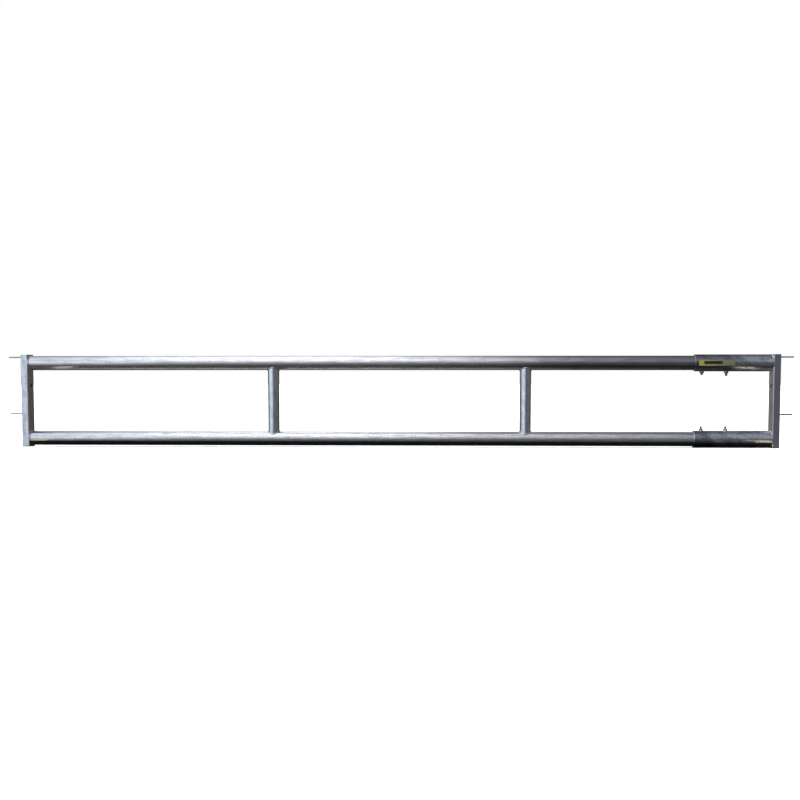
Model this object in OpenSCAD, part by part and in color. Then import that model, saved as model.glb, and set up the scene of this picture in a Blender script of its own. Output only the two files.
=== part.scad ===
// Two-rail telescopic livestock barrier gate. Millimetres, +Z up.
// The origin is on the ground, midway between the two posts and in the plane of the rails.
// +X runs along the rails towards the sliding end, and -Y is the front.

/* [Gate] */
// Length over the two posts, pushed fully together
gate_l = 4000; // [3200:10:4800]
// Distance between the axes of the two rails
rail_pitch = 400; // [320:5:520]
// Length of post left beyond the sleeves, at its top and at its foot
post_margin = 0.55; // [0.5:0.05:40]

/* [Rails] */
// Outer diameter of the rails
rail_d = 76.1; // [48:0.1:92]
// Wall of the rails
rail_t = 3.2; // [2:0.1:5]
// Gap between a rail's free end and the right post
rail_end_gap = 10; // [5:1:40]

/* [Struts] */
// Outer diameter of the upright struts
strut_d = 60.3; // [30:0.1:74]
// Wall of the struts
strut_t = 2.9; // [2:0.1:5]
// Distance from the left post's outer face to the first strut's axis
strut_first = 1346; // [1100:1:1620]
// Distance between the axes of the two struts
strut_pitch = 1334; // [1100:1:1610]
// Diameter of the vent holes that join the hollow sections for galvanising
vent_d = 16; // [8:1:24]

/* [Posts] */
// Width of the post section, along the gate
post_w = 40; // [30:1:60]
// Depth of the post section, across the gate
post_d = 80; // [60:1:120]
// Wall of the post section
post_t = 4; // [3:0.5:5]
// Outer radius of the post section's corners
post_r = 6; // [5:0.5:10]
// Diameter of the chain hole through each post
post_hole_d = 20; // [12:1:28]

/* [Lugs] */
// Width of the lugs' flat bar
lug_w = 50; // [35:1:70]
// Thickness of the lugs' flat bar
lug_t = 6; // [5:0.5:12]
// Reach of a lug from its post's outer face
lug_reach = 75; // [60:1:110]
// Diameter of the pin hole in each lug
lug_hole_d = 21; // [12:0.5:30]
// Depth of the upper lug's middle below the post's top
lug_drop = 14.5; // [12:0.5:40]
// Distance between the two lugs of a post
lug_pitch = 300; // [200:5:365]

/* [Sleeves] */
// Length of the sleeves
sleeve_l = 400; // [320:5:480]
// Wall of the sleeves
sleeve_t = 5; // [3:0.1:8]
// Radial play between a rail and its sleeve
slide_gap = 1.4; // [0.5:0.1:3]

/* [Set screws] */
// Distance from a sleeve's mouth to its first screw
screw_first = 40; // [30:1:60]
// Distance between the two screws of a sleeve
screw_pitch = 127; // [80:1:160]
// Thread diameter of the screws
screw_d = 12; // [10:0.5:16]
// Length of the screws
screw_l = 30; // [25:1:40]
// Length of the short screw at the top sleeve's mouth
short_screw_l = 25; // [22:1:40]
// Width across flats of the screws' hexagon socket
socket_w = 6; // [4:0.5:8]
// Depth of the screws' hexagon socket
socket_h = 6; // [4:0.5:8]
// Chamfer at both ends of a screw
screw_chamfer = 1.2; // [0.5:0.1:2]
// Gap between a screw's tip and the rail
tip_gap = 0.3; // [0.2:0.1:1]
// Radial gap between a screw and its nut
thread_gap = 0.05; // [0.02:0.01:0.1]
// Radial gap between a screw and its hole in the sleeve
screw_hole_gap = 0.5; // [0.3:0.1:1]
// Width across flats of the weld nuts
nut_w = 19; // [19:0.5:24]
// Height of the weld nuts above the sleeve
nut_h = 10.8; // [8:0.1:16]
// Leg of the weld collar round each nut
nut_weld = 3; // [2:0.5:4]

/* [Label] */
// Length of the label along the sleeve
label_l = 185; // [80:1:240]
// Height of the label, seen from the front
label_h = 30; // [20:1:50]
// Thickness of the label
label_t = 0.4; // [0.2:0.1:1]
// Distance from the sleeve's mouth to the label
label_inset = 16; // [5:1:60]

/* [Hidden] */
$fn = 96;
// Overrun of a cutter past the face that it cuts
cut = 1;

sleeve_id = rail_d + 2 * slide_gap;
sleeve_d = sleeve_id + 2 * sleeve_t;
bottom_z = sleeve_d / 2 + post_margin;
top_z = bottom_z + rail_pitch;
post_h = top_z + bottom_z;
post_x = gate_l / 2;
post_inner_x = post_x - post_w;
upper_lug_z = post_h - lug_drop;
lower_lug_z = upper_lug_z - lug_pitch;
strut_x = [-post_x + strut_first, -post_x + strut_first + strut_pitch];
mouth_x = post_inner_x - sleeve_l;
mouth_screw_x = mouth_x + screw_first;
inner_screw_x = mouth_screw_x + screw_pitch;
screw_hole_d = screw_d + 2 * screw_hole_gap;

// A rectangle with round corners, centred on the origin
module rounded_rectangle(w, d, r) {
    square([w - 2 * r, d], center = true);
    square([w, d - 2 * r], center = true);
    for (x = [-1, 1], y = [-1, 1])
        translate([x * (w / 2 - r), y * (d / 2 - r)]) circle(r);
}

// A solid bar of diameter d along +X, from x0 to x1 at height z
module bar_x(d, x0, x1, z) {
    translate([x0, 0, z]) rotate([0, 90, 0]) cylinder(d = d, h = x1 - x0);
}

// Moves a shape to a rail's axis and turns its +Z towards the other rail: up for inward = 1, down for -1
module at_side(x, z, inward) {
    translate([x, 0, z]) rotate([inward > 0 ? 0 : 180, 0, 0]) children();
}

// One rail, butted on the left post, with a vent hole at each strut on the side that faces it
module rail(z, inward) {
    x0 = -post_inner_x;
    x1 = post_inner_x - rail_end_gap;
    color("lightsteelblue") difference() {
        bar_x(rail_d, x0, x1, z);
        bar_x(rail_d - 2 * rail_t, x0 - cut, x1 + cut, z);
        for (x = strut_x)
            at_side(x, z, inward) cylinder(d = vent_d, h = rail_d);
    }
}

// One upright strut between the rails, coped at both ends to sit round them
module strut(x) {
    color("lightsteelblue") difference() {
        translate([x, 0, bottom_z]) cylinder(d = strut_d, h = rail_pitch);
        translate([x, 0, bottom_z - cut]) cylinder(d = strut_d - 2 * strut_t, h = rail_pitch + 2 * cut);
        for (z = [bottom_z, top_z])
            bar_x(rail_d, x - strut_d, x + strut_d, z);
    }
}

// The right post: an open-ended tube with a chain hole through both walls, and a vent hole behind each rail
module post() {
    color("slategray") difference() {
        translate([post_x - post_w / 2, 0, 0]) linear_extrude(post_h) difference() {
            rounded_rectangle(post_w, post_d, post_r);
            rounded_rectangle(post_w - 2 * post_t, post_d - 2 * post_t, post_r - post_t);
        }
        bar_x(post_hole_d, post_inner_x - cut, post_x + cut, (upper_lug_z + lower_lug_z) / 2);
        for (z = [bottom_z, top_z])
            bar_x(vent_d, post_inner_x - cut, post_inner_x + post_t + cut, z);
    }
}

// A lug of the right post: a flat bar with a round end and an upright pin hole
module lug(z) {
    eye_x = post_x + lug_reach - lug_w / 2;
    color("gray") translate([0, 0, z - lug_t / 2]) linear_extrude(lug_t) difference() {
        union() {
            translate([post_x, -lug_w / 2]) square([eye_x - post_x, lug_w]);
            translate([eye_x, 0]) circle(d = lug_w);
        }
        translate([eye_x, 0]) circle(d = lug_hole_d);
    }
}

// A sleeve butted on the right post; its screw holes are on the side that faces the other rail
module sleeve(z, inward) {
    color("silver") difference() {
        bar_x(sleeve_d, mouth_x, post_inner_x, z);
        bar_x(sleeve_id, mouth_x - cut, post_inner_x + cut, z);
        for (x = [mouth_screw_x, inner_screw_x])
            at_side(x, z, inward) cylinder(d = screw_hole_d, h = sleeve_d);
    }
}

// A hexagonal weld nut on the sleeve's crown, with its conical weld collar
module nut(x, z, inward) {
    crown = sleeve_d / 2;
    corner_d = nut_w / cos(30);
    collar_d = corner_d + 2 * nut_weld;
    // Both start below the crown, and the sleeve's own round is then cut out of them
    root = crown - sqrt(crown * crown - pow(collar_d / 2, 2));
    color("dimgray") difference() {
        at_side(x, z, inward) difference() {
            translate([0, 0, crown - root]) {
                cylinder(d = corner_d, h = nut_h + root, $fn = 6);
                cylinder(d1 = collar_d, d2 = screw_d, h = (collar_d - screw_d) / 2);
            }
            cylinder(d = screw_d + 2 * thread_gap, h = sleeve_d);
        }
        bar_x(sleeve_d, x - sleeve_d, x + sleeve_d, z);
    }
}

// A headless set screw whose tip stands just off the rail
module set_screw(x, z, inward, l) {
    tip = rail_d / 2 + tip_gap;
    core_d = screw_d - 2 * screw_chamfer;
    color("darkgray") at_side(x, z, inward) translate([0, 0, tip]) difference() {
        union() {
            cylinder(d1 = core_d, d2 = screw_d, h = screw_chamfer);
            translate([0, 0, screw_chamfer]) cylinder(d = screw_d, h = l - 2 * screw_chamfer);
            translate([0, 0, l - screw_chamfer]) cylinder(d1 = screw_d, d2 = core_d, h = screw_chamfer);
        }
        translate([0, 0, l - socket_h]) cylinder(d = socket_w / cos(30), h = socket_h + cut, $fn = 6);
    }
}

module top_rail() { rail(top_z, -1); }
module bottom_rail() { rail(bottom_z, 1); }
module left_post() { mirror([1, 0, 0]) post(); }
module left_strut() { strut(strut_x[0]); }
module right_strut() { strut(strut_x[1]); }
module left_upper_lug() { mirror([1, 0, 0]) lug(upper_lug_z); }
module left_lower_lug() { mirror([1, 0, 0]) lug(lower_lug_z); }
module right_post() { post(); }
module right_upper_lug() { lug(upper_lug_z); }
module right_lower_lug() { lug(lower_lug_z); }
module top_sleeve() { sleeve(top_z, -1); }
module bottom_sleeve() { sleeve(bottom_z, 1); }
module top_mouth_nut() { nut(mouth_screw_x, top_z, -1); }
module top_inner_nut() { nut(inner_screw_x, top_z, -1); }
module bottom_mouth_nut() { nut(mouth_screw_x, bottom_z, 1); }
module bottom_inner_nut() { nut(inner_screw_x, bottom_z, 1); }
module top_mouth_screw() { set_screw(mouth_screw_x, top_z, -1, short_screw_l); }
module top_inner_screw() { set_screw(inner_screw_x, top_z, -1, screw_l); }
module bottom_mouth_screw() { set_screw(mouth_screw_x, bottom_z, 1, screw_l); }
module bottom_inner_screw() { set_screw(inner_screw_x, bottom_z, 1, screw_l); }

// A thin label wrapped on the front of the top sleeve
module label() {
    x0 = mouth_x + label_inset;
    color("gold") intersection() {
        difference() {
            bar_x(sleeve_d + 2 * label_t, x0, x0 + label_l, top_z);
            bar_x(sleeve_d, x0 - cut, x0 + label_l + cut, top_z);
        }
        translate([x0, -sleeve_d, top_z - label_h / 2]) cube([label_l, sleeve_d, label_h]);
    }
}

top_rail();
bottom_rail();
left_post();
left_strut();
right_strut();
left_upper_lug();
left_lower_lug();
right_post();
right_upper_lug();
right_lower_lug();
top_sleeve();
bottom_sleeve();
top_mouth_nut();
top_inner_nut();
bottom_mouth_nut();
bottom_inner_nut();
top_mouth_screw();
top_inner_screw();
bottom_mouth_screw();
bottom_inner_screw();
label();
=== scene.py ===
"""A hot-dip galvanised two-rail telescopic barrier gate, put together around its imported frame."""

from math import cos, pi, radians, sin, sqrt

import bpy
from mathutils import Euler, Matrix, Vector


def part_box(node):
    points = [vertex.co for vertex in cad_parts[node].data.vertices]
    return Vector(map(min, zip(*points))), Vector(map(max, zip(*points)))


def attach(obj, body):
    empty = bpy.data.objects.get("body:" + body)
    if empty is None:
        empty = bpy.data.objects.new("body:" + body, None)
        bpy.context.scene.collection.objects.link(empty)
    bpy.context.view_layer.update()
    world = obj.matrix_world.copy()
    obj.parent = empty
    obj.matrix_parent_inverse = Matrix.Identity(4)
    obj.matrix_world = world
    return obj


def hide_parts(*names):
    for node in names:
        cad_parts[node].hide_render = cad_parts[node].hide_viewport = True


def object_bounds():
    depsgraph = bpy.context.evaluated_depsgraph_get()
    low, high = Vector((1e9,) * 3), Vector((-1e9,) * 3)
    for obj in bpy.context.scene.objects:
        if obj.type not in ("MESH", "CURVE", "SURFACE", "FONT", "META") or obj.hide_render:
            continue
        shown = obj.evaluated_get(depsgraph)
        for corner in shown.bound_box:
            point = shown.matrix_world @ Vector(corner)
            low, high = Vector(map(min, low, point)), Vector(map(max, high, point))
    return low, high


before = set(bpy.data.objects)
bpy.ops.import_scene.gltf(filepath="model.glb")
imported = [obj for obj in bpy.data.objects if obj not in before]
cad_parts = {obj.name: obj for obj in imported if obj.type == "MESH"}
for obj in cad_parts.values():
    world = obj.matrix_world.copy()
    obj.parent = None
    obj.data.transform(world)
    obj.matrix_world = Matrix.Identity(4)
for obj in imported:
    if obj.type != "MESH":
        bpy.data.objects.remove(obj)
cad_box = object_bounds()


# ---------------------------------------------------------------- rails
# Two round steel tubes, cut square, butted and welded on the left post, and free to slide in the sleeves
# at their right ends. Hot-dip galvanised inside and out after welding.

RAIL_WALL = 0.0032
ROUND = 128  # flats round a tube, so that its reflections run smooth


def modify(piece, kind, **settings):
    """Adds a modifier to a piece and applies it."""
    bpy.context.view_layer.objects.active = piece
    modifier = piece.modifiers.new(kind.title(), kind)
    for setting, value in settings.items():
        setattr(modifier, setting, value)
    bpy.ops.object.modifier_apply(modifier=modifier.name)


def take_up(name):
    """Names the primitive that was just added and puts its place into its mesh."""
    piece = bpy.context.object
    piece.name = piece.data.name = name
    bpy.ops.object.select_all(action="DESELECT")
    piece.select_set(True)
    bpy.ops.object.transform_apply(location=True, rotation=True, scale=True)
    return piece


def rod(name, start, end, radius, vertices=ROUND, ends="NGON"):
    """A round bar, or a prism of a few sides, from one point to another."""
    start, end = Vector(start), Vector(end)
    turn = (end - start).to_track_quat("Z", "Y").to_euler()
    bpy.ops.mesh.primitive_cylinder_add(vertices=vertices, radius=radius, depth=(end - start).length,
                                        end_fill_type=ends, location=(start + end) / 2, rotation=turn)
    return take_up(name)


def combine(piece, tool, operation="DIFFERENCE"):
    """Cuts a tool out of a piece, or keeps only what both hold, and throws the tool away."""
    modify(piece, "BOOLEAN", object=tool, operation=operation, solver="EXACT")
    bpy.data.objects.remove(tool)


def smooth(piece, degrees=35):
    """Shades a piece smooth but for its sharp edges, with its flats kept flat beside narrow bevels."""
    bpy.ops.object.select_all(action="DESELECT")
    piece.select_set(True)
    bpy.context.view_layer.objects.active = piece
    bpy.ops.object.shade_smooth_by_angle(angle=radians(degrees))
    modify(piece, "WEIGHTED_NORMAL", weight=80, keep_sharp=True)


def tube(name, start, end, radius, wall):
    """A length of round tube with its bore."""
    piece = rod(name, start, end, radius, ends="NOTHING")
    modify(piece, "SOLIDIFY", thickness=wall, offset=-1)
    return piece


def hand_over(piece, body, slot, *nodes):
    """Makes a finished piece ride on a body in place of its CAD nodes. slot is not used."""
    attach(piece, body)
    if nodes:
        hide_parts(*nodes)


def middle(node, axis):
    """Where the middle of a node's box lies along an axis."""
    return sum(getattr(corner, axis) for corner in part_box(node)) / 2


def rail_axis(node):
    """The height and radius of a level round tube, from its box."""
    low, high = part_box(node)
    return middle(node, "z"), (high.z - low.z) / 2


def linear(code):
    """An sRGB hex colour as a linear one with alpha."""
    parts = [int(code[i:i + 2], 16) / 255 for i in (1, 3, 5)]
    return [p / 12.92 if p <= 0.04045 else ((p + 0.055) / 1.055) ** 2.4 for p in parts] + [1]


def add(tree, kind, links=(), **settings):
    """Adds a node with its settings, and links (output, input name or number) pairs to it."""
    node = tree.nodes.new(kind)
    for setting, value in settings.items():
        if setting.startswith("in_"):
            key = setting[3:].replace("_", " ")
            node.inputs[int(key) if key.isdigit() else key].default_value = value
        else:
            setattr(node, setting, value)
    for output, target in links:
        tree.links.new(output, node.inputs[target])
    return node


def ramp(tree, factor, *stops):
    """A colour ramp with (place, hex colour) stops."""
    node = add(tree, "ShaderNodeValToRGB", [(factor, "Fac")])
    elements = node.color_ramp.elements
    while len(elements) < len(stops):
        elements.new(0.5)
    for element, (place, code) in zip(elements, stops):
        element.position = place
        element.color = linear(code)
    return node.outputs["Color"]


CRYSTALS = 0.12  # how much the crystals' tones count beside those of the patches
DULL_AT, BRIGHT_AT, GLOSSY_AT = 0.4, 0.66, 0.7  # the mixed tones at which zinc is so
PEEL_SIZE = 0.005  # of the orange peel, from crest to crest


def galvanised(name, bright, dull, rough, spangle=0.009, drain=(0.045, 0.015, 0.015), slant=0,
               wave=0.00012, peel=0.000004):
    """Hot-dip zinc on steel: a bright mirror, a little cloudy, of frozen zinc crystals. rough is the
    lowest and highest roughness, spangle the crystals' size, drain the size along x, y and z of the
    patches in which the zinc drained, slant their tilt in degrees, wave and peel the depth of the slow
    undulation and of the fine orange peel. All lengths are in metres."""
    material = bpy.data.materials.new(name)
    material.use_nodes = True
    tree = material.node_tree
    shader = tree.nodes["Principled BSDF"]
    shader.inputs["Metallic"].default_value = 1
    place = add(tree, "ShaderNodeTexCoord").outputs["Object"]
    # Each crystal has its own tone
    crystal = add(tree, "ShaderNodeTexVoronoi", [(place, "Vector")], in_Scale=1 / spangle)
    tone = add(tree, "ShaderNodeSeparateColor", [(crystal.outputs["Color"], "Color")]).outputs["Red"]
    # Patches and runs of thicker zinc
    turned = add(tree, "ShaderNodeMapping", [(place, "Vector")], in_Rotation=(0, radians(slant), 0))
    patches = add(tree, "ShaderNodeMapping", [(turned.outputs["Vector"], "Vector")],
                  in_Scale=[1 / size for size in drain]).outputs["Vector"]
    cloud = add(tree, "ShaderNodeTexNoise", [(patches, "Vector")], in_Scale=1, in_Detail=4,
                in_Roughness=0.5, in_Distortion=0.3).outputs["Fac"]
    mix = add(tree, "ShaderNodeMath", [(tone, 0), (cloud, 2)], operation="MULTIPLY_ADD",
              in_1=CRYSTALS).outputs[0]
    tree.links.new(ramp(tree, mix, (DULL_AT, dull), (BRIGHT_AT, bright)), shader.inputs["Base Color"])
    gloss = add(tree, "ShaderNodeMapRange", [(mix, "Value")], in_1=DULL_AT, in_2=GLOSSY_AT,
                in_3=rough[1], in_4=rough[0])
    tree.links.new(gloss.outputs[0], shader.inputs["Roughness"])
    # The undulation follows the patches, and the orange peel lies over it
    skin = add(tree, "ShaderNodeTexNoise", [(place, "Vector")], in_Scale=1 / PEEL_SIZE,
               in_Detail=2).outputs["Fac"]
    slow = add(tree, "ShaderNodeMath", [(cloud, 0)], operation="MULTIPLY", in_1=wave).outputs[0]
    height = add(tree, "ShaderNodeMath", [(skin, 0), (slow, 2)], operation="MULTIPLY_ADD",
                 in_1=peel).outputs[0]
    bump = add(tree, "ShaderNodeBump", [(height, "Height")], in_Strength=1, in_Distance=1)
    tree.links.new(bump.outputs["Normal"], shader.inputs["Normal"])
    return material


RAIL_FINISH = dict(bright="#eeeef1", dull="#cfd0d5", rough=(0.12, 0.2), drain=(0.09, 0.012, 0.012),
                   wave=0.00005)
plain_rail_zinc = galvanised("bright_galvanised_tube", **RAIL_FINISH)
rail_zinc_darker_right = galvanised("galvanised_tube_darker_right", **RAIL_FINISH)


DARKENING_PATCH = 0.08  # the size of the patches by which the darkening begins
DARKENING_RAGGED = 0.5  # how far they shift it, as a share of the way from plain to darkest


# Painted shade on the right posts and lugs and on the upper nuts and screws; a plain darkening on the
# top rail and the sleeves
def darken_along(material, axis, start, end, tint):
    """Darkens a zinc by a tint along an axis, not at all at one place and in full from another on."""
    tree = material.node_tree
    base = tree.nodes["Principled BSDF"].inputs["Base Color"]
    place = add(tree, "ShaderNodeTexCoord").outputs["Object"]
    along = add(tree, "ShaderNodeSeparateXYZ", [(place, "Vector")]).outputs[axis]
    blur = add(tree, "ShaderNodeTexNoise", [(place, "Vector")], in_Scale=1 / DARKENING_PATCH,
               in_Detail=3).outputs["Fac"]
    spread = add(tree, "ShaderNodeMath", [(blur, 0), (along, 2)], operation="MULTIPLY_ADD",
                 in_1=(end - start) * DARKENING_RAGGED).outputs[0]
    amount = add(tree, "ShaderNodeMapRange", [(spread, "Value")], in_1=start, in_2=end,
                 interpolation_type="SMOOTHSTEP").outputs[0]
    mixed = add(tree, "ShaderNodeMix", [(amount, "Factor"), (base.links[0].from_socket, 6)],
                data_type="RGBA", blend_type="MULTIPLY")
    mixed.inputs[7].default_value = linear(tint)
    tree.links.new(mixed.outputs[2], base)


TOP_RAIL_DARKENS = (0.55, 1.15)  # where along the top rail its finish turns to the duller one of its right part
darken_along(rail_zinc_darker_right, "X", *TOP_RAIL_DARKENS, "#b4b4b6")
for node, zinc in (("top_rail", rail_zinc_darker_right), ("bottom_rail", plain_rail_zinc)):
    low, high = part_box(node)
    z, radius = rail_axis(node)
    rail = tube(node.replace("rail", "rail_tube"), (low.x, 0, z), (high.x, 0, z), radius, RAIL_WALL)
    smooth(rail)
    rail.data.materials.append(zinc)
    hand_over(rail, "main_frame", "galvanised_steel", node)


# ---------------------------------------------------------------- struts
# Two upright round tubes between the rails, each end coped with a hole saw to sit round its rail and
# then welded. Same tube stock and same zinc bath as the rails.

STRUT_WALL = 0.0029
GAUGE = 1e-5  # a hair's breadth, which keeps cut faces from lying exactly on each other
LONG_CUT = 0.1  # how far a cutter reaches beyond an axis that it starts from

bottom_z, rail_radius = rail_axis("bottom_rail")
top_z = rail_axis("top_rail")[0]
strut_zinc = galvanised("galvanised_strut_tube", "#f2f5f9", "#d3d9e0", rough=(0.13, 0.22),
                        drain=(0.015, 0.015, 0.05))
for node in ("left_strut", "right_strut"):
    low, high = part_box(node)
    x, strut_radius = middle(node, "x"), (high.x - low.x) / 2
    strut = rod(node + "_tube", (x, 0, bottom_z), (x, 0, top_z), strut_radius)
    start, end = (x, 0, bottom_z - LONG_CUT), (x, 0, top_z + LONG_CUT)
    combine(strut, rod("bore", start, end, strut_radius - STRUT_WALL))
    for z in (bottom_z, top_z):
        combine(strut, rod("cope", (x - LONG_CUT, 0, z), (x + LONG_CUT, 0, z), rail_radius + GAUGE))
    smooth(strut)
    strut.data.materials.append(strut_zinc)
    hand_over(strut, "main_frame", "galvanised_steel", node)


# ---------------------------------------------------------------- posts
# A length of rectangular tube at each end, sawn square and left open, with a round hole through both
# narrow walls for a chain. Its corners are rounded by the tube mill, and the zinc softens the sawn rims.

POST_WALL = 0.004
POST_CORNER = 0.006
POST_HOLE_RADIUS = 0.010
HOLE_FLATS = 48  # round a drilled hole
OVERCUT = 0.01  # how far a saw or a drill goes past what it cuts
RIM = 0.0007  # the radius that the zinc leaves on a cut edge
INSIDE = (2 * RIM, POST_WALL * 0.6, 2 * RIM)  # from a post's box to where its inside begins
PARALLEL = 0.9  # the least cosine between two directions that count as one


def block(name, low, high):
    """A rectangular block between two corners."""
    low, high = Vector(low), Vector(high)
    bpy.ops.mesh.primitive_cube_add(size=1, location=(low + high) / 2, scale=high - low)
    return take_up(name)


def edit(piece, pick, mode="EDGE"):
    """Enters edit mode with only the edges, faces or vertices that pick chooses selected."""
    bpy.ops.object.select_all(action="DESELECT")
    piece.select_set(True)
    bpy.context.view_layer.objects.active = piece
    bpy.ops.object.mode_set(mode="EDIT")
    bpy.ops.mesh.select_mode(type=mode)
    bpy.ops.mesh.select_all(action="DESELECT")
    bpy.ops.object.mode_set(mode="OBJECT")
    mesh = piece.data
    items = {"EDGE": mesh.edges, "FACE": mesh.polygons, "VERT": mesh.vertices}[mode]
    for item in items:
        item.select = pick(item, mesh)
    bpy.ops.object.mode_set(mode="EDIT")


def leave_edit():
    """Goes back to object mode, which writes the edit to the mesh."""
    bpy.ops.object.mode_set(mode="OBJECT")


def rounded_block(name, low, high, radius, axis, segments=6):
    """A block whose four edges along an axis are rounded."""
    piece = block(name, low, high)

    def along(edge, mesh):
        a, b = (mesh.vertices[i].co for i in edge.vertices)
        return abs(getattr((b - a).normalized(), axis)) > PARALLEL

    edit(piece, along)
    bpy.ops.mesh.bevel(offset=radius, segments=segments, profile=0.5, affect="EDGES")
    leave_edit()
    return piece


def soften(piece, width, segments=2, degrees=50):
    """Rounds the edges that a saw or a drill left sharp, as the zinc does."""
    modify(piece, "BEVEL", width=width, segments=segments, limit_method="ANGLE",
           angle_limit=radians(degrees))


post_zinc = galvanised("galvanised_box_section", "#eaedf1", "#cbd0d6", rough=(0.17, 0.28),
                       drain=(0.02, 0.02, 0.06))
RIGHT_END = (1.0, 1.5)  # where the painted shade on a post or a lug comes in, so only those at the right are darker
# Painted shade: the right post is darker, as if it mirrored darker surroundings
darken_along(post_zinc, "X", *RIGHT_END, "#e4e1e8")
# The zinc inside is rough, and its near black is painted shade, as next to no light gets in to it
dark_painted_inner_zinc = galvanised("zinc_inside_tube_painted_dark", "#1c1d1e", "#121213", rough=(0.6, 0.8))


def line_inside(piece, low, high, lining):
    """Gives the faces inside a hollow piece, and the walls of its holes, a second material."""
    piece.data.materials.append(lining)
    for face in piece.data.polygons:
        c = face.center
        sawn_end = abs(face.normal.z) > PARALLEL and not low.z < c.z < high.z
        if low.x < c.x < high.x and low.y < c.y < high.y and not sawn_end:
            face.material_index = 1


for side, body in (("left", "main_frame"), ("right", "end_frame")):
    low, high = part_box(side + "_post")
    wall = Vector((POST_WALL, POST_WALL, 0))
    over = Vector((0, 0, OVERCUT))
    post = rounded_block(side + "_post_tube", low, high, POST_CORNER, "z")
    bore = rounded_block("bore", low + wall - over, high - wall + over, POST_CORNER - POST_WALL, "z")
    combine(post, bore)
    # The chain hole is halfway between the lugs
    hole_z = (middle(side + "_upper_lug", "z") + middle(side + "_lower_lug", "z")) / 2
    start, end = (low.x - OVERCUT, 0, hole_z), (high.x + OVERCUT, 0, hole_z)
    combine(post, rod("hole", start, end, POST_HOLE_RADIUS, HOLE_FLATS))
    soften(post, RIM)
    smooth(post)
    post.data.materials.append(post_zinc)
    line_inside(post, low + Vector(INSIDE), high - Vector(INSIDE), dark_painted_inner_zinc)
    hand_over(post, body, "galvanised_steel", side + "_post")


# ---------------------------------------------------------------- lugs
# Short flat bars with a round end and a drilled pin hole, welded level on each post's outer face. A pin
# dropped through the two of them hangs or latches the gate.

LUG_HOLE_RADIUS = 0.0105
LUG_RIM = 0.0006
BAR_END_FLATS = 64

lug_zinc = galvanised("galvanised_flat_bar", "#c8ccd0", "#9aa0a5", rough=(0.28, 0.42), spangle=0.006)
# Painted shade on the right lugs, as on the right post
darken_along(lug_zinc, "X", *RIGHT_END, "#a8a6a6")
for side, body in (("left", "main_frame"), ("right", "end_frame")):
    for level in ("upper", "lower"):
        node = f"{side}_{level}_lug"
        low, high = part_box(node)
        out = 1 if side == "right" else -1
        half = (high.y - low.y) / 2
        tip, root = (high.x, low.x) if out > 0 else (low.x, high.x)
        eye = tip - out * half
        lug = block(node + "_bar", low, high)
        shank = block("shank", (min(root, eye), low.y, low.z), (max(root, eye), high.y, high.z))
        bar_end = rod("bar_end", (eye, 0, low.z), (eye, 0, high.z), half, BAR_END_FLATS)
        modify(bar_end, "BOOLEAN", object=shank, operation="UNION", solver="EXACT")
        bpy.data.objects.remove(shank)
        combine(lug, bar_end, "INTERSECT")
        start, end = (eye, 0, low.z - OVERCUT), (eye, 0, high.z + OVERCUT)
        combine(lug, rod("hole", start, end, LUG_HOLE_RADIUS, HOLE_FLATS))
        soften(lug, LUG_RIM)
        smooth(lug)
        lug.data.materials.append(lug_zinc)
        hand_over(lug, body, "galvanised_steel", node)


# ---------------------------------------------------------------- sleeves
# Two short tubes, one size up from the rails, welded on the right post. The rails slide in them, and two
# holes on the side that faces the other rail let the set screws reach the rail.

SLEEVE_WALL = 0.005
SCREW_HOLE_RADIUS = 0.0065
SCREW_HOLE_FLATS = 32
SLEEVE_RIM = 0.0023  # the radius on a sawn rim, on which the zinc gathers thick; the rim's brighter zinc is partly a painted highlight
TOP_DULL = (0.23, 0.14)  # from its mouth to where the top sleeve is plain, and to where it is darker
BOTTOM_DULL = (0.09, 0.02)  # and the same for the bottom sleeve

SLEEVE_FINISH = dict(bright="#e6e7eb", dull="#9fa1a7", rough=(0.15, 0.26), drain=(0.09, 0.03, 0.03),
                     slant=-30, wave=0.0008)
top_sleeve_zinc = galvanised("worn_galvanised_sleeve", **SLEEVE_FINISH)
bottom_sleeve_zinc = galvanised("galvanised_sleeve", **SLEEVE_FINISH)
# Thick zinc on the mouth's rim, made brighter than the sleeve as a painted highlight
rim_zinc_and_highlight = galvanised("thick_zinc_on_rim_painted_bright", "#f4f5f7", "#dcdfe3", rough=(0.2, 0.3), spangle=0.004)
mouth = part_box("top_sleeve")[0].x
# The sleeves are darker towards their mouths
darken_along(top_sleeve_zinc, "X", mouth + TOP_DULL[0], mouth + TOP_DULL[1], "#b6b6ba")
darken_along(bottom_sleeve_zinc, "X", mouth + BOTTOM_DULL[0], mouth + BOTTOM_DULL[1], "#c4c4c6")
for level, inward, zinc in (("top", -1, top_sleeve_zinc), ("bottom", 1, bottom_sleeve_zinc)):
    node = level + "_sleeve"
    low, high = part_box(node)
    z, sleeve_radius = rail_axis(node)
    sleeve = tube(node + "_tube", (low.x, 0, z), (high.x, 0, z), sleeve_radius, SLEEVE_WALL)
    for screw in (f"{level}_mouth_screw", f"{level}_inner_screw"):
        x = middle(screw, "x")
        start, end = (x, 0, z), (x, 0, z + inward * LONG_CUT)
        combine(sleeve, rod("hole", start, end, SCREW_HOLE_RADIUS, SCREW_HOLE_FLATS))
    soften(sleeve, SLEEVE_RIM, segments=4)
    smooth(sleeve)
    sleeve.data.materials.append(zinc)
    sleeve.data.materials.append(rim_zinc_and_highlight)
    for face in sleeve.data.polygons:
        if face.center.x < mouth + SLEEVE_RIM:
            face.material_index = 1
    hand_over(sleeve, "end_frame", "galvanised_steel", node)


# ---------------------------------------------------------------- label
# A vinyl film label wrapped on the front of the top sleeve: yellow, turned olive at its right end by
# painted shade, with a plain black band and no lettering.

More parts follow.
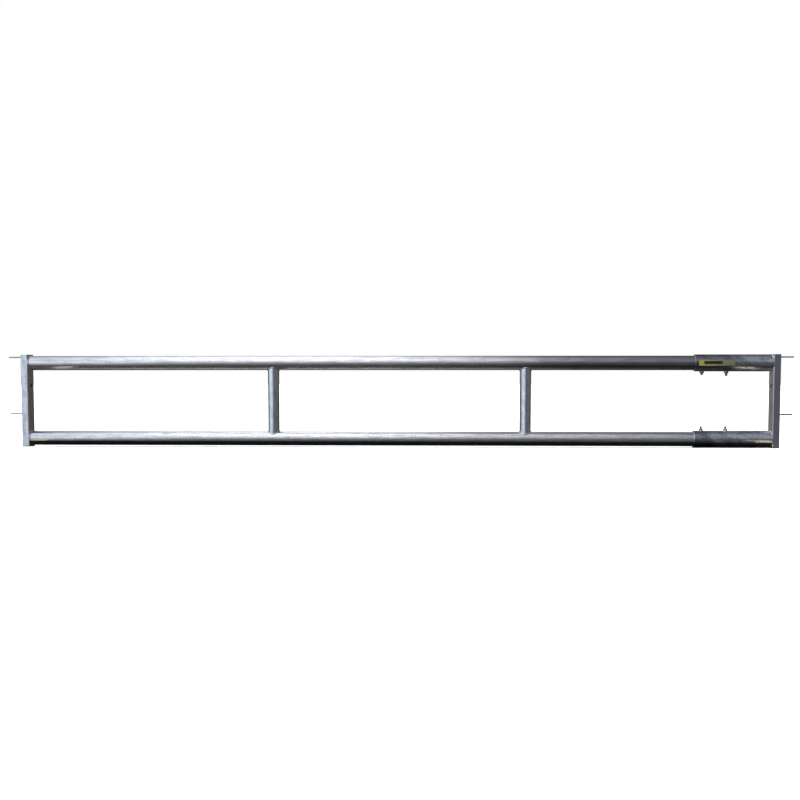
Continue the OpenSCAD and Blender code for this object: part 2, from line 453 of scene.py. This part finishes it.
LABEL_CORNER = 0.004
LABEL_LIFT = 0.00005  # keeps the film just clear of the sleeve
FILM_FLATS = 256
BAND = (0.026, 0.122)  # where the black band runs, from the label's left end
BAND_UP = (0.008, 0.025)  # and from its lower edge
LABEL_SHADE = (0.05, 0.16)  # from its left end to where the painted shade on the yellow starts, and to where it is olive
SCUFF = 0.012  # the size of the scuffs
SCUFF_SHIFT = 0.05  # how far a scuff shifts the painted shade

low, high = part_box("label")
z, sleeve_radius = rail_axis("top_sleeve")
film = rod("label_film", (low.x, 0, z), (high.x, 0, z), sleeve_radius + LABEL_LIFT, FILM_FLATS,
           ends="NOTHING")
modify(film, "SOLIDIFY", thickness=-low.y - sleeve_radius - 2 * LABEL_LIFT, offset=1)
outline = rounded_block("outline", (low.x, low.y - OVERCUT, low.z), high, LABEL_CORNER, "y")
combine(film, outline, "INTERSECT")
smooth(film)

# Printed PVC film: flat ink under an even half-shine, scuffed by the weather, with painted shade at its
# right
label_print = bpy.data.materials.new("printed_vinyl_film")
label_print.use_nodes = True
tree = label_print.node_tree
shader = tree.nodes["Principled BSDF"]
shader.inputs["Roughness"].default_value = 0.32
shader.inputs["IOR"].default_value = 1.5
place = add(tree, "ShaderNodeTexCoord").outputs["Object"]
centred = add(tree, "ShaderNodeMapping", [(place, "Vector")], in_Location=(-low.x, 0, -low.z))
axes = add(tree, "ShaderNodeSeparateXYZ", [(centred.outputs["Vector"], "Vector")])


def both(tree, a, b):
    """1 where both factors are 1."""
    return add(tree, "ShaderNodeMath", [(a, 0), (b, 1)], operation="MULTIPLY").outputs[0]


def between(tree, value, start, end):
    """1 where a value lies between two limits and 0 elsewhere."""
    over = add(tree, "ShaderNodeMath", [(value, 0)], operation="GREATER_THAN", in_1=start)
    under = add(tree, "ShaderNodeMath", [(value, 0)], operation="LESS_THAN", in_1=end)
    return both(tree, over.outputs[0], under.outputs[0])


across, up = axes.outputs["X"], axes.outputs["Z"]
black = both(tree, between(tree, across, *BAND), between(tree, up, *BAND_UP))
scuffs = add(tree, "ShaderNodeTexNoise", [(place, "Vector")], in_Scale=1 / SCUFF,
             in_Detail=6).outputs["Fac"]
# Painted shade: the yellow turns olive towards the right end, and the scuffs break up its edge
into_shade = add(tree, "ShaderNodeMath", [(scuffs, 0), (across, 2)], operation="MULTIPLY_ADD",
           in_1=SCUFF_SHIFT).outputs[0]
ground = ramp(tree, into_shade, (LABEL_SHADE[0], "#6b662e"), (LABEL_SHADE[1], "#4a4b33"))
ink = ramp(tree, scuffs, (0.3, "#0b0b0c"), (0.7, "#1c1b1e"))
printed = add(tree, "ShaderNodeMix", [(black, "Factor"), (ground, 6), (ink, 7)], data_type="RGBA")
tree.links.new(printed.outputs[2], shader.inputs["Base Color"])
film.data.materials.append(label_print)
hand_over(film, "end_frame", "label_film", "label")


# ---------------------------------------------------------------- weld nuts
# M12 hexagon weld nuts stood on the sleeves' crowns over the screw holes, tacked all round before the
# zinc bath. Their outer corners are chamfered.

NUT_FLATS = 0.019
NUT_HEIGHT = 0.0108
NUT_CHAMFER = 0.0016
NUT_BORE = 0.00605
NUT_RIM = 0.0003
NUT_FOOT = 0.003  # how far below the sleeve's crown its corners reach, before it is cut to the sleeve
HEXAGON = 6  # sides
SEAT_HALF = 0.05  # half the length of the cutter that fits a nut to the sleeve
TURNED_FLATS = 64  # round what is turned on a lathe
SCREWS = [("top_mouth", -1, "top"), ("top_inner", -1, "top"),
          ("bottom_mouth", 1, "bottom"), ("bottom_inner", 1, "bottom")]

nut_zinc = galvanised("galvanised_nut", "#d2d5d8", "#a4a9ad", rough=(0.28, 0.42), spangle=0.004)
UPPER = (0.15, 0.3)  # a nut's or a screw's painted shade comes in at these heights, so the upper ones, under the top sleeve, are darker
# Painted shade on the upper nuts, which hang in the shade under the top sleeve
darken_along(nut_zinc, "Z", *UPPER, "#8e8b87")


def stand(piece, name, x, z, inward):
    """A copy of a piece modelled upright on the origin, moved to a rail and turned towards the other."""
    copy = piece.copy()
    copy.data = piece.data.copy()
    bpy.context.scene.collection.objects.link(copy)
    copy.location = (x, 0, z)
    copy.rotation_euler = Euler((0 if inward > 0 else pi, 0, 0))
    bpy.context.view_layer.objects.active = copy
    return take_up(name)


corner = NUT_FLATS / 2 / cos(pi / HEXAGON)
top_of_nut = sleeve_radius + NUT_HEIGHT
nut_form = rod("nut_form", (0, 0, sleeve_radius - NUT_FOOT), (0, 0, top_of_nut), corner, HEXAGON)
turned = rod("turned", (0, 0, sleeve_radius - OVERCUT), (0, 0, top_of_nut), corner + GAUGE, TURNED_FLATS)
edit(turned, lambda e, m: all(m.vertices[i].co.z > top_of_nut - GAUGE for i in e.vertices))
bpy.ops.mesh.bevel(offset=NUT_CHAMFER, segments=1, affect="EDGES")
leave_edit()
combine(nut_form, turned, "INTERSECT")
combine(nut_form, rod("bore", (0, 0, 0), (0, 0, LONG_CUT), NUT_BORE, HOLE_FLATS))
combine(nut_form, rod("seat", (-SEAT_HALF, 0, 0), (SEAT_HALF, 0, 0), sleeve_radius + GAUGE))
soften(nut_form, NUT_RIM, degrees=40)
smooth(nut_form)
nut_form.data.materials.append(nut_zinc)
for name, inward, level in SCREWS:
    z = rail_axis(level + "_sleeve")[0]
    x = middle(name + "_screw", "x")
    nut = stand(nut_form, name + "_weld_nut", x, z, inward)
    hand_over(nut, "end_frame", "galvanised_steel", name + "_nut")
bpy.data.objects.remove(nut_form)


# ---------------------------------------------------------------- set screws
# Headless M12 screws with a hexagon socket, one turn of thread every 1.75 mm, zinc plated. They clamp
# the rail in the sleeve, and the one at the top sleeve's mouth is the shorter size.

PITCH = 0.00175
MAJOR = 0.006
MINOR = 0.00508
CHAMFER = 0.0012
SOCKET_FLATS = 0.006
SOCKET_DEPTH = 0.006
FLANK, CREST, ROOT = 0.40, 0.14, 0.06  # the shares of a turn that each takes up along the screw
THREAD_STEPS = 32
TOUCH = 1e-6  # how near a vertex has to be to another, or to a cutting plane, to count as on it

# Plated zinc is greyer and more satin. Its crystals are too fine to see, so 3 mm patches stand for them
plated = galvanised("zinc_plated_screw", "#b6b9bb", "#84888b", rough=(0.28, 0.4), spangle=0.003,
                    wave=0.00002)
# Painted shade on the upper screws, as on the upper nuts
darken_along(plated, "Z", *UPPER, "#b0aeaa")


def threaded(length):
    """A set screw that stands on the origin, with its socket up."""
    turns = int(length / PITCH) + 3  # enough to stand out at both ends, which are then cut square
    bpy.ops.mesh.primitive_plane_add(size=0.001)
    screw = take_up("screw_form")
    edit(screw, lambda v, m: True, "VERT")
    bpy.ops.mesh.merge(type="CENTER")
    bpy.ops.transform.translate(value=(MINOR, 0, -1.5 * PITCH))
    for step in ((MAJOR - MINOR, 0, FLANK * PITCH), (0, 0, CREST * PITCH),
                 (MINOR - MAJOR, 0, FLANK * PITCH), (0, 0, ROOT * PITCH)):
        bpy.ops.mesh.extrude_vertices_move(TRANSFORM_OT_translate={"value": step})
    leave_edit()
    modify(screw, "SCREW", axis="Z", angle=2 * pi, screw_offset=PITCH, iterations=turns,
           steps=THREAD_STEPS, render_steps=THREAD_STEPS, use_merge_vertices=True, merge_threshold=TOUCH)
    edit(screw, lambda v, m: True, "VERT")
    bpy.ops.mesh.remove_doubles(threshold=TOUCH)
    for height, out in ((0, -1), (length, 1)):
        bpy.ops.mesh.select_all(action="SELECT")
        bpy.ops.mesh.bisect(plane_co=(0, 0, height), plane_no=(0, 0, out), use_fill=True,
                            clear_outer=True, threshold=TOUCH)
    bpy.ops.mesh.select_all(action="SELECT")
    bpy.ops.mesh.normals_make_consistent(inside=False)
    leave_edit()
    # The thread runs out in a chamfer at both ends
    blank = rod("blank", (0, 0, 0), (0, 0, length), MAJOR + GAUGE, TURNED_FLATS)

    def round_an_end(edge, mesh):
        a, b = (mesh.vertices[i].co for i in edge.vertices)
        return abs(a.z - b.z) < GAUGE

    edit(blank, round_an_end)
    bpy.ops.mesh.bevel(offset=CHAMFER, segments=1, affect="EDGES")
    leave_edit()
    combine(screw, blank, "INTERSECT")
    combine(screw, rod("socket", (0, 0, length - SOCKET_DEPTH), (0, 0, length + OVERCUT),
                       SOCKET_FLATS / 2 / cos(pi / HEXAGON), HEXAGON))
    smooth(screw, degrees=25)
    screw.data.materials.append(plated)
    return screw


for name, inward, level in SCREWS:
    low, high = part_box(name + "_screw")
    form = threaded(high.z - low.z)
    tip = low.z if inward > 0 else high.z
    screw = stand(form, name + "_set_screw", middle(name + "_screw", "x"), tip, inward)
    bpy.data.objects.remove(form)
    hand_over(screw, name + "_screw", "zinc_plated_steel", name + "_screw")


# ---------------------------------------------------------------- weld beads
# Fillet welds laid by hand in short overlapping pools, which the zinc then rounds over. They run round
# each tube where it meets a post or a rail, along each lug's root, and round each weld nut.

bead_zinc = galvanised("galvanised_weld_bead", "#eef1f4", "#c9ced3", rough=(0.24, 0.36), spangle=0.003,
                       drain=(0.008, 0.008, 0.008))
SECTION = 12  # vertices round a bead
PINCH = 0.14  # the share of its radius that a round bead loses between its pools
TAPER, DIP = 0.4, 0.86  # a straight bead's size at its ends and between its pools, beside a pool's
# Each kind's radius, how far its middle is sunk in the tube or nut that it runs round, and its pools
RAIL_BEAD, RAIL_SUNK, RAIL_POOLS = 0.006, 0.0015, 26
SLEEVE_BEAD, SLEEVE_SUNK, SLEEVE_POOLS = 0.007, 0.0035, 28
STRUT_BEAD, STRUT_SUNK, STRUT_POOLS = 0.004, 0.0005, 24
NUT_BEAD, NUT_SUNK, NUT_POOLS = 0.0022, 0.0006, 12
LUG_BEAD, LUG_SHORT, LUG_POOLS = 0.0032, 0.002, 9  # a lug's is straight and stops short of its edges
BUTTED = 0.001  # how far beyond a tube's end, in the post, its bead is centred
PROUD = 0.0036  # how far the sleeve's bead would stand out in front of the sleeve
STRUT_SEAT, NUT_SEAT = 0.0004, 0.0002  # how high a bead is centred over the tube that it lies on


def ring_bead(name, centre, axis_turn, radius, bead, pools):
    """A round bead of overlapping pools: a ring whose every second section is pinched in."""
    bpy.ops.mesh.primitive_torus_add(major_segments=2 * pools, minor_segments=SECTION,
                                     major_radius=radius, minor_radius=bead, location=centre,
                                     rotation=axis_turn)
    piece = take_up(name)
    edit(piece, lambda v, m: (v.index // SECTION) % 2 == 1, "VERT")
    bpy.ops.transform.shrink_fatten(value=-PINCH * bead)
    leave_edit()
    return piece


def dress_flush(piece, low, high):
    """Grinds a piece flat where it stands over a highest or under a lowest level."""
    edit(piece, lambda v, m: True, "VERT")
    for level, out in ((high, 1), (low, -1)):
        bpy.ops.mesh.select_all(action="SELECT")
        bpy.ops.mesh.bisect(plane_co=(0, 0, level), plane_no=(0, 0, out), use_fill=True,
                            clear_outer=True, threshold=TOUCH)
    leave_edit()


def finish_bead(piece, body):
    """Rounds a bead, keeps it flush with the posts' ends, and hands it over."""
    modify(piece, "SUBSURF", levels=1, render_levels=1)
    dress_flush(piece, cad_box[0][2] + GAUGE, cad_box[1][2] - GAUGE)
    smooth(piece, degrees=60)
    piece.data.materials.append(bead_zinc)
    hand_over(piece, body, "galvanised_steel")


ALONG_X = (0, pi / 2, 0)
for level, z in (("top", top_z), ("bottom", bottom_z)):
    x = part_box(level + "_rail")[0].x
    bead = ring_bead(level + "_rail_weld", (x - BUTTED, 0, z), ALONG_X, rail_radius - RAIL_SUNK,
                     RAIL_BEAD, RAIL_POOLS)
    finish_bead(bead, "main_frame")
    # The sleeve is wider than its post, so at the front and back the bead lies in the post's corner
    place = (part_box(level + "_sleeve")[1].x + BUTTED, 0, z)
    bead = ring_bead(level + "_sleeve_weld", place, ALONG_X, sleeve_radius - SLEEVE_SUNK,
                     SLEEVE_BEAD, SLEEVE_POOLS)
    edit(bead, lambda v, m: True, "VERT")
    squeeze = sleeve_radius / (sleeve_radius + PROUD)
    bpy.ops.transform.resize(value=(1, squeeze, 1), center_override=place)
    leave_edit()
    finish_bead(bead, "end_frame")


def saddle(bead, rings, reach, seat, up):
    """Drapes a level ring bead over a round tube that runs along X, ring by ring."""
    for ring in range(rings):
        y = reach * sin(2 * pi * ring / rings)
        edit(bead, lambda v, m: v.index // SECTION == ring, "VERT")
        bpy.ops.transform.translate(value=(0, 0, up * sqrt(seat ** 2 - y ** 2)))
        leave_edit()


for side in ("left", "right"):
    x = middle(side + "_strut", "x")
    for level, z, up in (("top", top_z, -1), ("bottom", bottom_z, 1)):
        bead = ring_bead(f"{side}_strut_{level}_weld", (x, 0, z), (0, 0, 0), strut_radius - STRUT_SUNK,
                         STRUT_BEAD, STRUT_POOLS)
        saddle(bead, 2 * STRUT_POOLS, strut_radius - STRUT_SUNK, rail_radius + STRUT_SEAT, up)
        finish_bead(bead, "main_frame")

collar = ring_bead("collar", (0, 0, 0), (0, 0, 0), corner - NUT_SUNK, NUT_BEAD, NUT_POOLS)
saddle(collar, 2 * NUT_POOLS, corner - NUT_SUNK, sleeve_radius + NUT_SEAT, 1)
for name, inward, level in SCREWS:
    z = rail_axis(level + "_sleeve")[0]
    x = middle(name + "_screw", "x")
    finish_bead(stand(collar, name + "_nut_weld", x, z, inward), "end_frame")
bpy.data.objects.remove(collar)


def run_bead(name, start, end, bead, pools):
    """A straight bead of overlapping pools with tapered ends."""
    start, end = Vector(start), Vector(end)
    step = (end - start) / (2 * pools)
    turn = step.to_track_quat("Z", "Y").to_euler()
    bpy.ops.mesh.primitive_circle_add(vertices=SECTION, radius=bead * TAPER, fill_type="NGON",
                                      location=start, rotation=turn)
    piece = take_up(name)
    edit(piece, lambda f, m: True, "FACE")
    last = TAPER
    for i in range(1, 2 * pools + 1):
        size = TAPER if i == 2 * pools else (1.0 if i % 2 else DIP)
        bpy.ops.mesh.extrude_region_move(TRANSFORM_OT_translate={"value": step})
        bpy.ops.transform.resize(value=[size / last] * 3, center_override=start + step * i)
        last = size
    bpy.ops.mesh.select_all(action="SELECT")
    bpy.ops.mesh.normals_make_consistent(inside=False)
    leave_edit()
    return piece


for side, body, out in (("left", "main_frame", -1), ("right", "end_frame", 1)):
    for level in ("upper", "lower"):
        low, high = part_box(f"{side}_{level}_lug")
        root = low.x if out > 0 else high.x
        for edge, z in (("top", high.z), ("bottom", low.z)):
            start, end = (root, low.y + LUG_SHORT, z), (root, high.y - LUG_SHORT, z)
            bead = run_bead(f"{side}_{level}_lug_{edge}_weld", start, end, LUG_BEAD, LUG_POOLS)
            finish_bead(bead, body)


# ---------------------------------------------------------------- floor and light
# A plain pale floor and backdrop, seen by the camera. The metal mirrors a soft sky instead, brightest on
# the left, with dark ground below it, the gate's own shadow, and a pale timber bearer by each post.

FLOOR_SIZE = 80
BACKDROP_RADIUS = 38
BEARER_INNER, BEARER_OUTER = 1.89, 1.99  # from the gate's middle to a bearer's sides
BEARER_FRONT, BEARER_BACK = -0.35, 0.1
SHADOW_END, SHADOW_SIDE = 2, 0.075  # from the gate's middle to its shadow's ends and sides
SHADOW_DARK, SHADOW_FAINT = 0.045, 0.1  # from the middle to where it starts to fade, and where it has
CARD_LIFT = 0.0004  # the bearers' height over the floor, and the shadow's over them

bpy.ops.mesh.primitive_plane_add(size=FLOOR_SIZE, location=(0, 0, 0))
floor = take_up("floor")
floor.visible_glossy = False
# Matt paint, which glows a little so that it stays white
paint = bpy.data.materials.new("pale_floor_paint")
paint.use_nodes = True
shader = paint.node_tree.nodes["Principled BSDF"]
shader.inputs["Base Color"].default_value = linear("#f8f8f8")
shader.inputs["Roughness"].default_value = 0.8
shader.inputs["Emission Color"].default_value = (1, 1, 1, 1)
shader.inputs["Emission Strength"].default_value = 0.2
floor.data.materials.append(paint)


def glowing(name):
    """A card material that only glows, and the socket that its colour goes to."""
    material = bpy.data.materials.new(name)
    material.use_nodes = True
    tree = material.node_tree
    glow = add(tree, "ShaderNodeEmission")
    tree.links.new(glow.outputs[0], tree.nodes["Material Output"].inputs["Surface"])
    return material, glow


bpy.ops.mesh.primitive_uv_sphere_add(radius=BACKDROP_RADIUS, segments=32, ring_count=16)
backdrop = take_up("backdrop")
backdrop.visible_glossy = backdrop.visible_diffuse = backdrop.visible_transmission = False
backdrop.visible_shadow = False
backdrop.data.materials.append(glowing("white_backdrop_card")[0])


def mirrored_card(name, low, high, height, glow):
    """A level card that nothing but the metal's reflections shows."""
    centre = ((low[0] + high[0]) / 2, (low[1] + high[1]) / 2, height)
    bpy.ops.mesh.primitive_plane_add(size=1, location=centre)
    bpy.context.object.scale = (high[0] - low[0], high[1] - low[1], 1)
    card = take_up(name)
    card.visible_camera = card.visible_diffuse = card.visible_transmission = card.visible_shadow = False
    card.data.materials.append(glow)


ZINC_SHOWS = 1.55  # what the tones below are raised by, because zinc mirrors only part of the light
bearer_wood, glow = glowing("pale_timber")
glow.inputs["Color"].default_value = linear("#a49e90")
glow.inputs["Strength"].default_value = ZINC_SHOWS
for side, start, end in (("left", -BEARER_OUTER, -BEARER_INNER), ("right", BEARER_INNER, BEARER_OUTER)):
    mirrored_card(side + "_bearer", (start, BEARER_FRONT), (end, BEARER_BACK), CARD_LIFT, bearer_wood)
shade, glow = glowing("shaded_ground")
place = add(shade.node_tree, "ShaderNodeTexCoord").outputs["Object"]
off = add(shade.node_tree, "ShaderNodeSeparateXYZ", [(place, "Vector")]).outputs["Y"]
off = add(shade.node_tree, "ShaderNodeMath", [(off, 0)], operation="ABSOLUTE").outputs[0]
depth = ramp(shade.node_tree, off, (SHADOW_DARK, "#141213"), (SHADOW_FAINT, "#454344"))
shade.node_tree.links.new(depth, glow.inputs["Color"])
mirrored_card("shadow_strip", (-SHADOW_END, -SHADOW_SIDE), (SHADOW_END, SHADOW_SIDE), 2 * CARD_LIFT,
              shade)

# The sky's tones round the gate, at these pitches in degrees from the ground behind it, under it, up in
# front, over the top and back down. Each row gives the sideways slopes from and to which it takes over
# from the row before, from the left to the right
PITCHES = (-180, -137, -61, -43, -27, -10, 6, 22, 38, 75, 97, 126, 180)
SKY = (
    (-0.38, -0.38, "64605e 48443c 403c34 4c4a48 6c7078 9ca4b0 c4ccd8 "
                   "c0c8d4 acb4bc b8c0c8 acb0b4 808488 64605e"),
    (-0.36, -0.22, "7c7a70 6c6860 3e3a36 424042 484a4c 64686c 909498 "
                   "bcc0c4 e4e8ec ffffff ffffff cccccc 7c7a70"),
    (-0.10, 0.06, "4a4644 605c58 262626 303032 444446 505052 727478 "
                  "8c8c90 b0b0b4 acaeb0 888a8c 767678 4a4644"),
    (0.06, 0.27, "46403a 363430 2c2c2a 363432 48484a 525256 4c4d50 "
                 "80848a 727880 6e7078 62666e 565a64 46403a"),
)
world = bpy.data.worlds.new("soft_sky")
bpy.context.scene.world = world
world.use_nodes = True
tree = world.node_tree
way = add(tree, "ShaderNodeTexCoord").outputs["Generated"]
parts = add(tree, "ShaderNodeSeparateXYZ", [(way, "Vector")]).outputs
ahead = add(tree, "ShaderNodeMath", [(parts["Y"], 0)], operation="MULTIPLY", in_1=-1).outputs[0]
pitch = add(tree, "ShaderNodeMath", [(parts["Z"], 0), (ahead, 1)], operation="ARCTAN2").outputs[0]
turn = add(tree, "ShaderNodeMapRange", [(pitch, "Value")], in_1=-pi, in_2=pi).outputs[0]
sky = None
for start, end, tones in SKY:
    stops = [((angle + 180) / 360, "#" + tone) for angle, tone in zip(PITCHES, tones.split())]
    tones = ramp(tree, turn, *stops)
    if sky:
        blend = add(tree, "ShaderNodeMapRange", [(parts["X"], "Value")], in_1=start, in_2=end,
                    interpolation_type="SMOOTHSTEP").outputs[0]
        tones = add(tree, "ShaderNodeMix", [(blend, "Factor"), (sky, 6), (tones, 7)],
                    data_type="RGBA").outputs[2]
    sky = tones
tree.links.new(sky, tree.nodes["Background"].inputs["Color"])
tree.nodes["Background"].inputs["Strength"].default_value = ZINC_SHOWS

# A sun as wide as an overcast sky, which lights the floor and the label
bpy.ops.object.light_add(type="SUN", location=(0, 0, 6))
overhead = bpy.context.object
overhead.name = "overhead_light"
overhead.data.energy = 4.6
overhead.data.angle = radians(170)
overhead.visible_glossy = False


# ---------------------------------------------------------------- camera
# Stands about 5.7 m in front of the gate, a little right of its middle and lower than its top, and looks
# a little down and to the left.

TILT_DOWN = 3.761
TURN_LEFT = 2.0
bpy.ops.object.camera_add(location=(0.271, -5.662, 0.382),
                          rotation=(radians(90 - TILT_DOWN), 0, radians(TURN_LEFT)))
camera = bpy.context.object
camera.name = "front_camera"
camera.data.lens = 48.1
camera.data.sensor_width = 36
camera.data.shift_x = -0.013
camera.data.shift_y = 0.0565
camera.data.clip_end = 200
bpy.context.scene.camera = camera
bpy.context.scene.view_settings.view_transform = "Standard"
